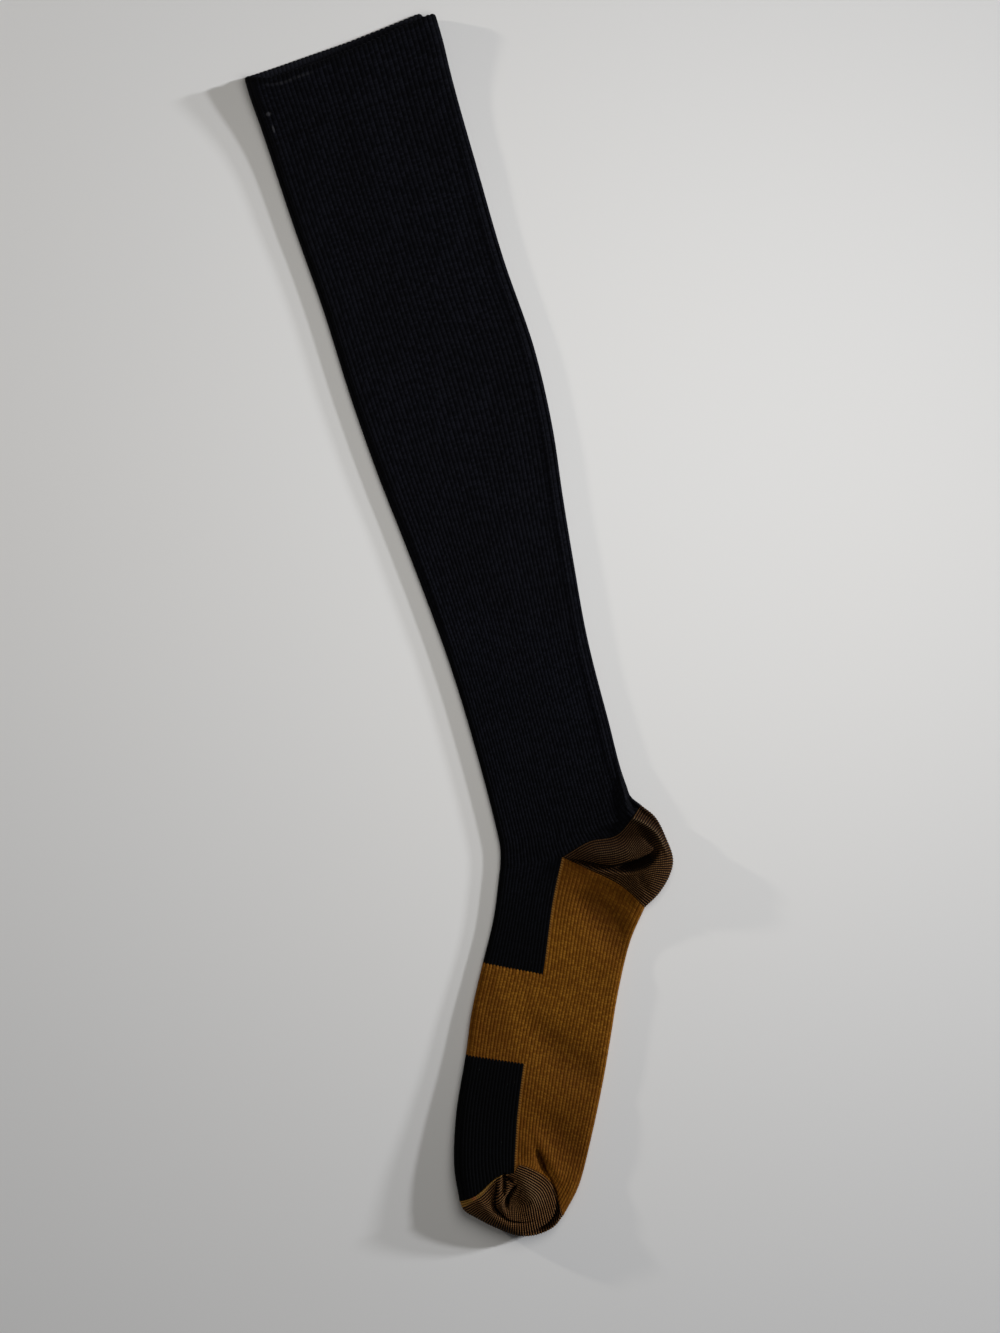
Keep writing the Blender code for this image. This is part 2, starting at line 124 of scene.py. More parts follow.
footCourses = (
    # front x, y, gore x, y, back x, y, thickness at front, gore, back
    (-27.8, 0, 0, -2.8, 29.1, -34.6, 3.6, 4.4, 6),
    (-36.8, -20.8, -9.8, -21.4, 18.5, -47.8, 3.6, 4, 4.6),
    (-46.8, -38.4, -22.6, -50.6, 7.6, -67.3, 3.8, 3.9, 4.2),
    (-57.3, -57.4, -32.2, -67.7, -0.8, -85, 4.3, 4.2, 4.2),
    (-65.2, -75.2, -41.5, -86, -9.5, -103, 5.2, 4.8, 4.6),
    (-76.3, -98.7, -50, -105.7, -20.3, -123.5, 6.6, 6, 5.4),
    (-83.4, -119.9, -55.4, -120.6, -32.1, -143.7, 8.6, 7.6, 6.6),
    (-85.5, -135.9, -58.6, -129.9, -43.1, -155.5, 10.4, 9, 7.6),
)
bandStart = 2
bandEnd = 4
toeCourseAt = 7

# The bends of a seam at the thirds of its length, and how far they fade into the foot,
# in rows of the table above, and into the pocket, in shares of its turn.
heelSeam = {"bend": ((1.1, 1.3), (2.1, 2.1)), "intoFoot": 1.5}
toeSeam = {"bend": ((-0.6, 10.9), (4, 8.5)), "intoFoot": 2.5, "intoPocket": 0.7}
linkSeam = {"bend": ((1.1, 2.2), (-0.3, -0.6)), "intoFoot": 1.5, "intoPocket": 0.5}
footOnward = 0.2  # rows of the table to the place that shows which way the ribs run

heelOutline = (
    (29.1, -34.6), (36.8, -30.1), (43.6, -23.5), (47, -16.7), (46.7, -7.8), (44.8, 2.5),
    (39.9, 9.9),
)
toeOutline = (
    (-85.5, -135.9), (-84.7, -140.7), (-80.4, -145.4), (-73.3, -152), (-65.1, -158),
    (-56.9, -160.1), (-48.7, -159.1), (-43.1, -155.5),
)
heelPuff = 6.5
toePuff = 1.6

edgeFolds = (
    # whether at the back edge, distance in from the edge, height, half width, from, to
    (True, 4.4, 0.45, 1.3, 10, 330),
    (True, 2.4, -0.3, 1, 10, 300),
    (False, 4, 0.3, 1.4, 90, 350),
    (False, 2.3, -0.2, 0.9, 90, 350),
)
edgeFoldFade = 20.0
slack = (
    # height of a wave, its turns along x and along y, and where it starts
    (0.10, 0.071, 0.043, 1),
    (0.08, 0.19, -0.057, 0),
    (0.06, 0.11, 0.153, 2),
)
slackInset = 12.0

# Soft ridges and troughs of the cloth that shows. Each has its height, how far it
# spreads to the left and the right of its line, how square its flanks are, and then
# the line itself as x, y, share of the height.
tuckDepth = 5.5
crestHeight = 3.0
foldShape = {"steps": 5, "reach": 3, "endWidth": 0.4}
heelFolds = (
    # the upper lobe rolls over a deep tuck
    ((1.5, 3.5, 3.8, 2), (6, -2.6, 0), (11, -3.9, 0.7), (16.6, -5.6, 1), (21.8, -6.8, 1),
     (27.6, -7.6, 1), (33, -7.2, 0.9), (36.5, -5.6, 0.5), (38.5, -3.5, 0)),
    ((-7, 2.1, 2.5, 5), (2, -4.6, 0), (8, -7.8, 0.2), (12, -10, 0.28), (17, -12.4, 0.35),
     (21.5, -13.8, 0.5), (25.3, -14.4, 0.8), (28.6, -14.6, 1), (32, -14.5, 1), (35.2, -13.9, 1),
     (38.2, -12.6, 0.65), (40.6, -10.4, 0.3), (41.6, -7.6, 0.15), (41.8, -5.6, 0)),
    ((-3.4, 1.9, 1.9, 2), (40.5, -10, 0), (40.2, -7, 0.9), (39.2, -4, 1), (37, -0.6, 0.6),
     (34.6, 2.2, 0)),
    # its back ridge, and the half underneath that shows past it
    ((3, 1, 1.6, 2), (32.9, 8.6, 0), (33.6, 6.6, 0.7), (35, 5.2, 1), (37.4, 3.4, 1),
     (39.4, 1.4, 1), (42.2, -2.4, 1), (43.6, -6, 1), (44.4, -9.6, 0.8), (44.9, -13.4, 0.4),
     (45.2, -16.8, 0)),
    ((-2.4, 1.3, 1.3, 2), (37.6, 10, 0.3), (39.8, 6.6, 1), (42.2, 3, 1), (44.4, -1.6, 0.9),
     (45.8, -6.2, 0.5), (46.4, -9.5, 0)),
    ((-0.6, 1.6, 1.6, 2), (30, -17.4, 0), (31.7, -24.3, 1), (33.7, -31.7, 0)),
)
soleFolds = (
    # the sole bulges along the heel, and soft drags cross it
    ((1.3, 2.6, 3, 2), (4.8, -9.6, 0), (10.8, -13.2, 0.7), (18.4, -18.6, 1), (23.6, -24.4, 1),
     (27.6, -31, 0.8)),
    ((-2.4, 7, 8.5, 2), (1, -19, 0), (6.8, -27, 0.8), (10.8, -34.4, 1), (13.6, -43.8, 1),
     (13, -60, 0)),
    ((-1.7, 9, 8, 2), (-37.4, -62.6, 0), (-30.3, -77.3, 0.8), (-24.8, -87.8, 1),
     (-18.7, -96.5, 1), (-10.3, -107.7, 0)),
    ((-1.5, 7.5, 7.5, 2), (-41.5, -106.3, 0), (-37.8, -116.6, 0.9), (-34.2, -125, 1),
     (-30.3, -134.4, 0.8), (-27.6, -144.3, 0)),
    ((1.1, 3, 2, 2), (-46.9, -114, 0), (-44.4, -119.7, 0.9), (-42.5, -126.7, 1),
     (-40.6, -134.7, 1), (-39.2, -143.5, 0)),
)
legFolds = (
    # the back of the ankle, pushed up above the heel
    ((1.5, 0.9, 1, 2), (35.3, 38, 0), (34.7, 31, 0.6), (34.4, 22.8, 1), (33.7, 13.8, 1),
     (33.1, 8, 1)),
    ((-2, 0.9, 1.4, 2), (36.8, 26, 0), (36.2, 18, 0.8), (36.3, 12.8, 1), (36.9, 9.4, 1)),
    ((-0.9, 2.4, 2.4, 2), (31, 26, 0), (30.6, 18, 0.8), (30, 10, 1), (28.6, 5, 0.8),
     (26.4, 2.4, 0)),
)
toeFolds = (
    # the sole is drawn up to the toe, with a notch beside it
    ((0.8, 3.2, 2.8, 2), (-49.2, -115.5, 0), (-49.4, -120, 0.8), (-49.9, -126, 1),
     (-50.8, -131, 0.7), (-51.5, -134, 0)),
    ((-2.5, 1.3, 1.4, 2), (-46.9, -122.5, 0), (-46.6, -125.5, 0.7), (-46.3, -128.5, 1),
     (-45.9, -131.5, 1), (-45.5, -134.5, 0.5), (-45, -137, 0)),
    # the dome of the curled tip, and the tuck round it
    ((3, 5.2, 5.6, 2), (-55, -130.5, 0.5), (-53.4, -136.8, 1), (-52.6, -143.2, 1),
     (-55.3, -147.4, 0.6)),
    ((-5, 1, 1.3, 3), (-47.5, -131.2, 0), (-45.4, -132.9, 0.14), (-44, -137.2, 0.18),
     (-43.6, -143, 0.2), (-43.9, -147.2, 0.26), (-44.6, -150.8, 0.5), (-46.2, -154.2, 0.9),
     (-49.4, -156.6, 1), (-53.4, -157.8, 1), (-58, -158, 0.6), (-62, -157.2, 0)),
    ((-0.6, 0.8, 0.8, 2), (-55.2, -136, 0), (-57.6, -138.8, 1), (-60.8, -142.5, 0)),
    # the front lobe, its crease, the lip and the eye of the curl
    ((1.5, 3, 3, 2), (-78, -137, 0), (-75.5, -139.5, 0.9), (-73.5, -143.5, 1),
     (-70.5, -148.5, 0.7), (-66, -152.5, 0.3), (-62, -154, 0)),
    ((-3.6, 0.7, 0.8, 2), (-67.3, -131.5, 0), (-67.6, -133.1, 0.5), (-68.7, -135.9, 0.8),
     (-70.4, -139, 1), (-71, -142.2, 1), (-70, -144.7, 0.9), (-68.6, -146.9, 0.7),
     (-66.2, -149.5, 0.4), (-62.5, -151.4, 0.3), (-58.7, -152.4, 0.22), (-54, -153, 0.15),
     (-50, -152.8, 0)),
    ((1.4, 0.9, 0.9, 2), (-64.9, -129.9, 0.4), (-66, -133, 1), (-67, -136, 1),
     (-68.3, -139.5, 0.8), (-68.6, -142, 0)),
    ((-4, 0.6, 0.7, 2), (-62.9, -129.6, 0.5), (-63.9, -133, 1), (-64.9, -136.5, 0.6),
     (-65.5, -138.5, 0)),
    ((-2.6, 0.8, 0.8, 2), (-64.4, -129.4, 0), (-63, -131, 0.9), (-61.3, -132.4, 1),
     (-60, -133.3, 0.8), (-59, -133.8, 0)),
    ((1.8, 1.1, 1.3, 2), (-60.8, -134.2, 0), (-62.6, -135.4, 0.8), (-65.2, -137.6, 1),
     (-67.2, -140.4, 1), (-67.5, -143.6, 0.8), (-66.2, -146.5, 0)),
    ((-5.4, 0.7, 0.9, 3), (-58.6, -135.2, 0), (-60.2, -136.6, 0.7), (-62.4, -138.2, 0.9),
     (-64.3, -140, 1), (-65.3, -142.2, 0.9), (-65.4, -144.4, 0)),
)
tubeFolds = legFolds + soleFolds + toeFolds


def smoothTable(rows, column, at):
    keys, values = ([row[k] for row in rows] for k in (0, column))
    i = int(np.clip(np.searchsorted(keys, at) - 1, 0, len(keys) - 2))
    slopes = np.gradient(values, keys)
    width = keys[i + 1] - keys[i]
    t = min(max((at - keys[i]) / width, 0.0), 1.0)
    start = (1 + 2 * t) * (1 - t) ** 2 * values[i] + t * (1 - t) ** 2 * width * slopes[i]
    end = t * t * (3 - 2 * t) * values[i + 1] + t * t * (t - 1) * width * slopes[i + 1]
    return start + end


def through(points, t):
    # places on a smooth curve through evenly counted points
    points = np.asarray(points, float)
    last = len(points) - 1
    t = np.asarray(t, float)
    i = np.clip((t * last).astype(int), 0, last - 1)
    t = (t * last - i)[..., None]
    ends = np.vstack([2 * points[0] - points[1], points, 2 * points[last] - points[last - 1]])
    before, a, b, after = ends[i], ends[i + 1], ends[i + 2], ends[i + 3]
    return 0.5 * (
        2 * a
        + (b - before) * t
        + (2 * before - 5 * a + 4 * b - after) * t**2
        + (3 * a - before - 3 * b + after) * t**3
    )


def mix(a, b, share):
    return a + (b - a) * share


def smoothStep(low, high, value):
    t = np.clip((value - low) / (high - low), 0, 1)
    return t * t * (3 - 2 * t)


def thirds(start, end, bend=((0, 0), (0, 0))):
    start, end, bend = np.array(start, float), np.array(end, float), np.array(bend, float)
    inner = [mix(start, end, (k + 1) / 3) + bend[k] for k in (0, 1)]
    return np.array([start, *inner, end])


evening = {"steps": 25, "walkShare": 0.15}


def evened(points, onward):
    # a stretch whose ribs lie evenly side by side, as they run onward
    t = np.linspace(0, 1, evening["steps"])
    steps = np.diff(through(points, t), axis=0)
    walk = np.hypot(steps[:, 0], steps[:, 1])
    aside = evening["walkShare"] * walk
    if onward is not None:
        aside = aside + abs(steps[:, 0] * onward[1] - steps[:, 1] * onward[0])
    ribs = np.concatenate([[0], np.cumsum(aside)])
    return {
        "points": points,
        "t": t,
        "walk": np.concatenate([[0], np.cumsum(walk)]),
        "ribs": ribs / ribs[-1],
    }


def makeCourse(front, gore, back, instepBend, flankBend, lofts, onward=(0, 1), hidden=None):
    front, gore = np.array(front, float), np.array(gore, float)
    if hidden is None:
        hidden = gore + (gore - front) * hiddenGoreShift
    stretches = (
        thirds(gore, front, instepBend),
        thirds(gore, back, flankBend),
        thirds(hidden, back),
        thirds(hidden, front),
    )
    stretches = [evened(points, onward) for points in stretches]
    return {"stretches": stretches, "lofts": lofts, "puff": 0.0, "rim": 0.0}


def legCourse(height):
    rise, drop, *bends = (smoothTable(courseLie, k, height) for k in range(1, 7))
    front = (smoothTable(legOutline, 1, height), height)
    back = (smoothTable(legOutline, 2, height + rise), height + rise)
    gore = (mix(front[0], back[0], goreShare), height + goreShare * rise - drop)
    lofts = [smoothTable(legLoft, k, height) for k in (1, 2, 3)]
    instepBend = ((0, -bends[0]), (0, -bends[1]))
    flankBend = ((0, -bends[2]), (0, -bends[3]))
    course = makeCourse(front, gore, back, instepBend, flankBend, lofts)
    course["rim"] = max(0.0, (height - hemHeight) / (rimHeight - hemHeight))
    return course


def fading(seam, distance, into):
    return np.array(seam["bend"]) * max(0.0, 1 - distance / seam[into]) ** 2


def footCourse(at):
    row = through(footCourses, at / toeCourseAt)
    left = toeCourseAt - at
    instepBend = fading(linkSeam, left, "intoFoot")
    flankBend = fading(heelSeam, at, "intoFoot") + fading(toeSeam, left, "intoFoot")
    step = through(footCourses, (at + footOnward) / toeCourseAt) - row
    onward = (step[2:4] + step[4:6]) / np.linalg.norm(step[2:4] + step[4:6])
    return makeCourse(row[0:2], row[2:4], row[4:6], instepBend, flankBend, list(row[6:9]), onward)


def pocketCourse(t, outline, footEnd, bend, edgeLoft, puff):
    gore, hidden = (footEnd["stretches"][k]["points"][0] for k in (0, 3))
    back = through(outline, t)
    lofts = [edgeLoft, footEnd["lofts"][1], edgeLoft]
    course = makeCourse(back, gore, back, ((0, 0), (0, 0)), bend, lofts, None, hidden)
    course["puff"] = puff * sin(pi * t)
    return course


def heelCourse(t):
    start = footCourse(0)
    lie = courseLie[0]
    bend = mix(np.array(heelSeam["bend"]), np.array(((0, -lie[5]), (0, -lie[6]))), t)
    return pocketCourse(t, heelOutline, start, bend, start["lofts"][2], heelPuff)


def toeCourse(t):
    end = footCourse(toeCourseAt)
    bend = fading(linkSeam, t, "intoPocket") + fading(toeSeam, 1 - t, "intoPocket")
    edgeLoft = mix(end["lofts"][0], end["lofts"][2], t)
    return pocketCourse(t, toeOutline, end, bend, edgeLoft, toePuff)


def stretchOf(rib):
    # which quarter of the tube a rib is in, and its share of the way out to the edge
    turns = (frontFold, goreRib, backFold, hiddenGore, allRibs)
    return np.searchsorted(turns[1:4], rib), np.interp(rib, turns, (1, 0, 1, 0, 1))


def layOut(course, rib, inset=0.0):
    # x, y and the distance from the folded edge, which moves in by inset
    stretch, share = stretchOf(rib)
    place = np.zeros((len(rib), 3))
    for k, lie in enumerate(course["stretches"]):
        chosen = stretch == k
        length = lie["walk"][-1] - inset
        kept = share[chosen] * np.interp(length, lie["walk"], lie["ribs"])
        t = np.interp(kept, lie["ribs"], lie["t"])
        place[chosen, :2] = through(lie["points"], t)
        place[chosen, 2] = length - np.interp(t, lie["t"], lie["walk"])
    if course["rim"] > 0:
        under = stretch > 1
        hemY = layOut(legCourse(hemHeight), rib[under], inset)[:, 1]
        rimY = np.interp(place[under, 0], *np.transpose(hiddenRim))
        place[under, 1] = mix(hemY, rimY, course["rim"])
    return place


def roundness(distance, radius):
    return np.sqrt(1 - (1 - np.clip(distance, 0, radius) / radius) ** 2)


def fromLine(x, y, line):
    # how far off a line of x, y, share; on which side of it; and the share there
    best = np.full(x.shape, 1e9)
    left = np.zeros(x.shape, bool)
    share = np.zeros(x.shape)
    for a, b in zip(line, line[1:]):
        dx, dy = b[:2] - a[:2]
        t = np.clip(((x - a[0]) * dx + (y - a[1]) * dy) / (dx * dx + dy * dy), 0, 1)
        gapX, gapY = x - a[0] - t * dx, y - a[1] - t * dy
        distance = np.hypot(gapX, gapY)
        closer = distance < best
        best = np.where(closer, distance, best)
        left = np.where(closer, dx * gapY - dy * gapX > 0, left)
        share = np.where(closer, mix(a[2], b[2], t), share)
    return best, left, np.clip(share, 0, 1)


def foldField(x, y, folds):
    # the height that the folds add, and from 0 to 1 how deep in a tuck each place lies
    # and how high on a crest
    height, depth, crest = np.zeros_like(x), np.zeros_like(x), np.zeros_like(x)
    for (rise, leftWidth, rightWidth, power), *path in folds:
        path = through(path, np.linspace(0, 1, foldShape["steps"] * len(path)))
        reach = foldShape["reach"] * max(leftWidth, rightWidth)
        low, high = path.min(axis=0) - reach, path.max(axis=0) + reach
        near = (x > low[0]) & (x < high[0]) & (y > low[1]) & (y < high[1])
        if not near.any():
            continue
        distance, left, share = fromLine(x[near], y[near], path)
        width = np.where(left, leftWidth, rightWidth) * mix(foldShape["endWidth"], 1, share)
        swell = rise * share * np.exp(-((distance / width) ** power))
        height[near] += swell
        depth[near] = np.maximum(depth[near], -swell / tuckDepth)
        crest[near] = np.maximum(crest[near], swell / crestHeight)
    return height, np.clip(depth, 0, 1), np.clip(crest, 0, 1)


def edgeFoldField(y, distance, atBack):
    height = np.zeros_like(y)
    for back, inset, rise, halfWidth, start, end in edgeFolds:
        fade = np.clip(np.minimum((y - start) / edgeFoldFade, (end - y) / edgeFoldFade), 0, 1)
        swell = fade * rise * np.exp(-(((distance - inset) / halfWidth) ** 2))
        height += np.where(atBack == back, swell, 0)
    return height


def unevenness(x, y):
    # the slack of laid cloth: a few long soft waves
    return sum(rise * np.sin(turnX * x + turnY * y + start) for rise, turnX, turnY, start in slack)


def plainLoft(course, rib):
    # the height of the folded edge, the thickness without folds, and what is at the back
    share = stretchOf(rib)[1]
    atBack = (rib > goreRib) & (rib < hiddenGore)
    edgeLoft = np.where(atBack, course["lofts"][2], course["lofts"][0])
    fold = cloth["foldShare"] * (edgeLoft + course["puff"])
    loft = mix(course["lofts"][1], edgeLoft, share) + course["puff"] * np.sin(pi / 2 * share)
    return fold, loft, atBack


def outerPlaces(course, rib, folds):
    place = layOut(course, rib)
    x, y, distance = place.T.copy()
    fold, loft, atBack = plainLoft(course, rib)
    loft = loft + foldField(x, y, folds)[0] + edgeFoldField(y, distance, atBack)
    loft = loft + unevenness(x, y) * smoothStep(0, slackInset, distance)
    loft = np.maximum(loft, 2 * cloth["wall"] + cloth["leastHollow"][0])
    top = fold + (loft - fold) * roundness(distance, cloth["topRound"] * fold)
    under = fold * (1 - roundness(distance, cloth["underRound"] * fold))
    place[:, 2] = np.where(rib > backFold, under, top)
    return place


def innerPlaces(course, rib, folds, wall):
    place = layOut(course, rib, wall)
    x, y, distance = place.T.copy()
    fold, loft, atBack = plainLoft(course, rib)
    near = cloth["foldClearance"]
    steps = ((0, 0), (near, 0), (-near, 0), (0, near), (0, -near))
    loft = loft + np.min([foldField(x + dx, y + dy, folds)[0] for dx, dy in steps], axis=0)
    loft = loft + edgeFoldField(y, distance + wall, atBack)
    loft = np.maximum(loft, 2 * wall + cloth["leastHollow"][1])
    top = fold + (loft - wall - fold) * roundness(distance, cloth["topRound"] * fold - wall)
    tight = np.maximum(cloth["underRound"] * fold - wall, wall / 2)
    under = fold - (fold - wall) * roundness(distance, tight)
    place[:, 2] = np.where(rib > backFold, under, top)
    return place


def ribProfile(rib):
    return np.sin(pi * (rib % 1)) ** cloth["ribPower"]


def surfaceNormals(grid, wraps):
    along = np.gradient(grid, axis=0)
    if wraps:
        around = np.roll(grid[:, :-1], -1, axis=1) - np.roll(grid[:, :-1], 1, axis=1)
        around = np.concatenate([around, around[:, :1]], axis=1)
    else:
        around = np.gradient(grid, axis=1)
        along[:, 0] = along[:, 1]
        along[:, -1] = along[:, -2]
    normals = np.cross(around, along)
    length = np.linalg.norm(normals, axis=2, keepdims=True)
    return normals / np.maximum(length, 1e-9)


pieces = {}  # by the name of their zone


def inScene(name, data):
    thing = bpy.data.objects.new(name, data)
    bpy.context.scene.collection.objects.link(thing)
    return thing


def cells(rows, cols, covers, keyOf):
    # corners that fall together count once
    found = []
    for low, high in zip(rows, rows[1:]):
        for left, right in zip(cols, cols[1:]):
            if covers(low, left, right):
                kept = {}
                for corner in ((low, left), (low, right), (high, right), (high, left)):
                    kept.setdefault(keyOf(corner), corner)
                found.append(tuple(kept.values()))
    return found


def outlineLoops(faces):
    edges = {(a, b) for face in faces for a, b in zip(face, face[1:] + face[:1])}
    following = {a: b for a, b in edges if (b, a) not in edges}
    loops = []
    while following:
        start = min(following)
        key = following.pop(start)
        loop = [start]
        while key != start:
            loop.append(key)
            key = following.pop(key)
        loops.append(loop)
    return loops


def makeShell(name, outer, inner, pattern, covers, insideRows, insideCols, wraps):
    # a closed wall of cloth: the fine outside, the coarser inside, and its edges
    rows, cols = outer.shape[:2]

    def keyOf(corner):
        row, col = corner
        if wraps:
            return (row, col % (cols - 1))
        return (0, col) if col in (0, cols - 1) else corner

    outerFaces = cells(range(rows), range(cols), covers, keyOf)
    vertices, outside, inside, faces, patternAt = [], {}, {}, [], []

    def add(corners, store, grid):
        faces.append([])
        for corner in corners:
            key = keyOf(corner)
            if key not in store:
                store[key] = len(vertices)
                vertices.append(grid[key])
            faces[-1].append(store[key])
            patternAt.append(pattern[corner])

    for face in outerFaces:
        add(face, outside, outer)
    for face in cells(insideRows, insideCols, covers, keyOf):
        add(face[::-1], inside, inner)
    for loop in outlineLoops([tuple(keyOf(c) for c in face) for face in outerFaces]):
        start = next(i for i, key in enumerate(loop) if key in inside)
        loop = loop[start:] + loop[:start] + [loop[start]]
        stops = [i for i, key in enumerate(loop) if key in inside]
        for first, last in zip(stops, stops[1:]):
            middle = (first + last + 1) // 2
            near, far = inside[loop[first]], inside[loop[last]]
            for i in range(first, last):
                rim = near if i < middle else far
                faces.append([outside[loop[i + 1]], outside[loop[i]], rim])
                patternAt.extend([pattern[loop[i]]] * 3)
            faces.append([outside[loop[middle]], near, far])
            patternAt.extend([pattern[loop[middle]]] * 3)
    mesh = bpy.data.meshes.new(name)
    places = (np.array(vertices) - (*origin, 0)) * mm
    mesh.from_pydata(places.tolist(), [], faces)
    patternAt = np.array(patternAt, np.float32)
    # the tuck layer holds the masks for painted shade in the tucks and the mouth and for painted
    # highlight on the crests
    for layerName, part in (("knit", patternAt[:, :2]), ("tuck", patternAt[:, 2:])):
        layer = mesh.uv_layers.new(name=layerName)
        layer.data.foreach_set("uv", part.ravel())
    piece = inScene(name, mesh)
    bpy.context.view_layer.objects.active = piece
    piece.select_set(True)
    bpy.ops.object.shade_smooth_by_angle(angle=radians(cloth["smoothAngle"]))
    piece.select_set(False)
    pieces[name] = piece


tubeMesh = {
    "shownSteps": (0.0, 0.1, 0.28, 0.5, 0.72, 0.9),
    "hiddenSteps": (0.0, 0.2, 0.5, 0.8),
    "insideRibs": (0, 1, 2, 3, 5, 7, 9, 12, 15, 18, 20, 22, 24, 27, 30, 33, 36, 38, 40, 41, 42,
                   43, 44, 46, 48, 51, 54, 57, 60, 63, 66, 69, 72, 75, 78, 80, 82, 83, 84),
    "insideStep": 3,
    "coursePitch": 1.1,
    "jag": 0.9,
    "jagOnward": 0.05,
    "jagEdge": 0.01,
}


def tubeRibs():
    ribs = []
    for rib in range(int(allRibs)):
        steps = tubeMesh["shownSteps"] if rib < backFold else tubeMesh["hiddenSteps"]
        ribs += [rib + step for step in steps]
    return np.array(ribs + [allRibs])


def everywhere(low, *sides):
    return True


def onInstep(low, left, right):
    middle = (left + right) / 2
    return middle < goreRib or middle > hiddenGore


def jagged(at, rib):
    # the border of two colours: each rib of the instep reaches a little past it
    stops = (at, at - tubeMesh["jagOnward"])
    here, there = (outerPlaces(footCourse(stop), rib, tubeFolds) for stop in stops)
    onward = (there - here) / np.linalg.norm(there - here, axis=1, keepdims=True)
    tooth = tubeMesh["jag"] * (ribProfile(rib) - 0.5)
    edge = tubeMesh["jagEdge"]
    tooth = np.where((rib < goreRib - edge) | (rib > hiddenGore + edge), tooth, 0)
    return onward * tooth[:, None]


def patternOf(outer, across, along, folds, shown):
    # for each place: ribs or stitches, courses, depth in a tuck, height on a crest
    depth, crest = foldField(outer[:, :, 0], outer[:, :, 1], folds)[1:]
    pattern = np.zeros((*outer.shape[:2], 4))
    for k, part in enumerate((across, along, depth * shown, crest * shown)):
        pattern[:, :, k] = part
    return pattern


def makeTube(name, courses, covers, jags=(), rim=False):
    # one with a rim is as fine inside, and its doubled cloth turns over at the end
    ribs = tubeRibs()
    wall = cloth["weltWall" if rim else "wall"]
    outer = np.array([outerPlaces(course, ribs, tubeFolds) for course in courses])
    inner = np.array([innerPlaces(course, ribs, tubeFolds, wall) for course in courses])
    for row, at in jags:
        outer[row] += jagged(at, ribs)
    relief = np.where(ribs <= backFold, cloth["ribRelief"], cloth["ribReliefUnder"])
    raised = relief * (ribProfile(ribs) - 1) + cloth["ribLift"] * (ribs <= backFold)
    outer = outer + surfaceNormals(outer, True) * raised[None, :, None]
    if rim:
        inner = inner - surfaceNormals(inner, True) * (cloth["insideShare"] * raised[None, :, None])
    walk = np.linalg.norm(np.diff(outer[:, np.searchsorted(ribs, goreRib)], axis=0), axis=1)
    count = np.concatenate([[0], np.cumsum(walk)]) / tubeMesh["coursePitch"]
    pattern = patternOf(outer, ribs[None, :], count[:, None], tubeFolds, ribs <= backFold)
    insideRows = list(range(0, len(courses), 1 if rim else tubeMesh["insideStep"]))
    insideCols = [int(np.searchsorted(ribs, rib)) for rib in tubeMesh["insideRibs"]]
    if rim:
        mouth = smoothStep(weltMesh["mouthFrom"], 1, np.linspace(0, 1, len(outer)))[:, None]
        mouth = mouth * weltMesh["mouthShade"]
        pattern[:, :, 2] = np.where(ribs > backFold, mouth, pattern[:, :, 2])
        outer, inner, pattern = turnRim(outer, inner, pattern, ribs)
        insideRows[-1] = len(outer) - 1
        insideCols = list(range(len(ribs)))

    def coversCell(low, *sides):
        return covers(min(low, len(courses) - 2), *ribs[list(sides)])

    makeShell(name, outer, inner, pattern, coversCell, insideRows, insideCols, True)


def turnRim(outer, inner, pattern, ribs):
    # the last rows go over the turned edge of the welt to its inside
    top, bottom = outer[-1], inner[-1]
    middle, half = (top + bottom) / 2, (top - bottom) / 2
    onward = outer[-1] - outer[-2]
    onward /= np.linalg.norm(onward, axis=1, keepdims=True)
    reach = weltMesh["rimReach"] * (1 + weltMesh["rimScallop"] * (ribProfile(ribs) - 0.5))[:, None]
    turned = []
    for angle in weltMesh["rimAngles"]:
        turned.append(middle + half * cos(radians(angle)) + onward * reach * sin(radians(angle)))
    added = np.repeat(pattern[-1:], len(turned), axis=0)
    added[:, :, 1] += np.linspace(*weltMesh["rimCourses"], len(turned))[:, None]
    kept = np.repeat(inner[-1:], len(turned), axis=0)
    return np.vstack([outer, turned]), np.vstack([inner, kept]), np.vstack([pattern, added])


weltMesh = {
    "rows": 24,
    "rimReach": 1.0,
    "rimScallop": 0.5,
    "rimAngles": (25, 50, 80, 110, 140, 165),
    "rimCourses": (0.3, 1.2),
    "mouthFrom": 0.6,
    "mouthShade": 0.1,
}


def makeWelt():
    top = rimHeight - weltMesh["rimReach"]
    courses = [legCourse(height) for height in np.linspace(hemHeight, top, weltMesh["rows"] + 1)]
    makeTube("welt", courses, everywhere, rim=True)


legMesh = {"rows": 156, "tongueRows": 24}


def makeLeg():
    tongue = list(np.linspace(bandStart, 0, legMesh["tongueRows"], endpoint=False))
    courses = [footCourse(at) for at in tongue]
    courses += [legCourse(height) for height in np.linspace(0, hemHeight, legMesh["rows"] + 1)]

    def covers(low, *sides):
        return low >= len(tongue) or onInstep(low, *sides)

    makeTube("leg", courses, covers, ((0, bandStart),))


footMesh = {"toeRows": 33, "bandRows": 18, "heelRows": 24}


def makeFoot():
    stops = [*np.linspace(toeCourseAt, bandEnd, footMesh["toeRows"], endpoint=False)]
    bandLow = len(stops)
    stops += [*np.linspace(bandEnd, bandStart, footMesh["bandRows"], endpoint=False)]
    bandHigh = len(stops)
    stops += [*np.linspace(bandStart, 0, footMesh["heelRows"] + 1)]

    def covers(low, *sides):
        return not onInstep(low, *sides) or bandLow <= low < bandHigh

    jags = ((bandLow, bandEnd), (bandHigh, bandStart))
    makeTube("foot", [footCourse(at) for at in stops], covers, jags)


def makeInstep():
    stops = np.linspace(toeCourseAt, bandEnd, footMesh["toeRows"] + 1)
    jags = ((footMesh["toeRows"], bandEnd),)
    makeTube("instep", [footCourse(at) for at in stops], onInstep, jags)


